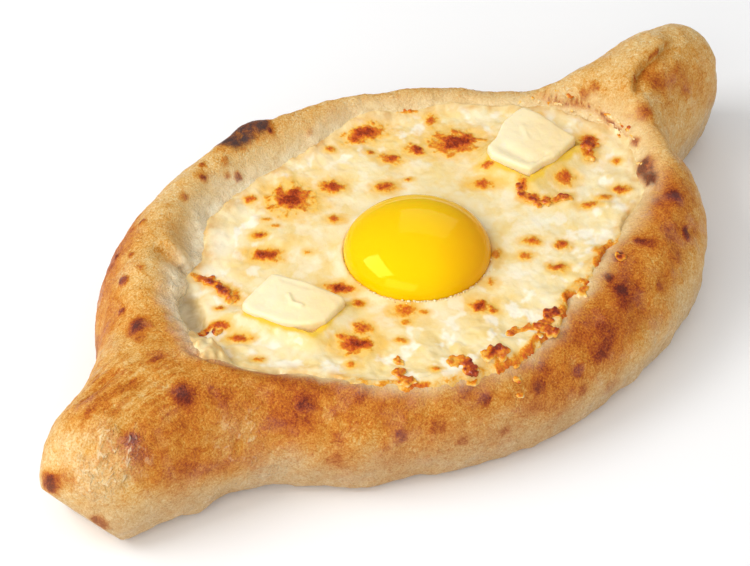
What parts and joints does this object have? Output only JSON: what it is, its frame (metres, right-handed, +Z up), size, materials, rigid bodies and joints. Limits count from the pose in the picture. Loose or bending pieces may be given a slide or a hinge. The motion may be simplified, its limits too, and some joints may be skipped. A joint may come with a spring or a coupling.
{
  "type": "khachapuri",
  "caption": "Open boat of baked dough with thick twisted ends, filled with melted browned cheese and topped with a whole egg yolk and pats of butter.",
  "frame": {"origin": "under the middle of the bread's outline, on the surface it rests on", "axes": "+X along the boat from one twisted end to the other, +Z up, +Y towards the higher rim"},
  "size_m": [0.2532, 0.1366, 0.0436],
  "materials": {
    "crust": "baked bread crust, satin, golden to dark brown with char spots",
    "cheese": "melted curd cheese, moist, with toasted patches",
    "yolk": "soft egg yolk, glossy",
    "butter": "softening butter, satin"
  },
  "bodies": {
    "root": {"crust": "crust", "cheese": "cheese", "yolk": "yolk", "butter_front": "butter", "butter_back": "butter"}
  },
  "joints": []
}
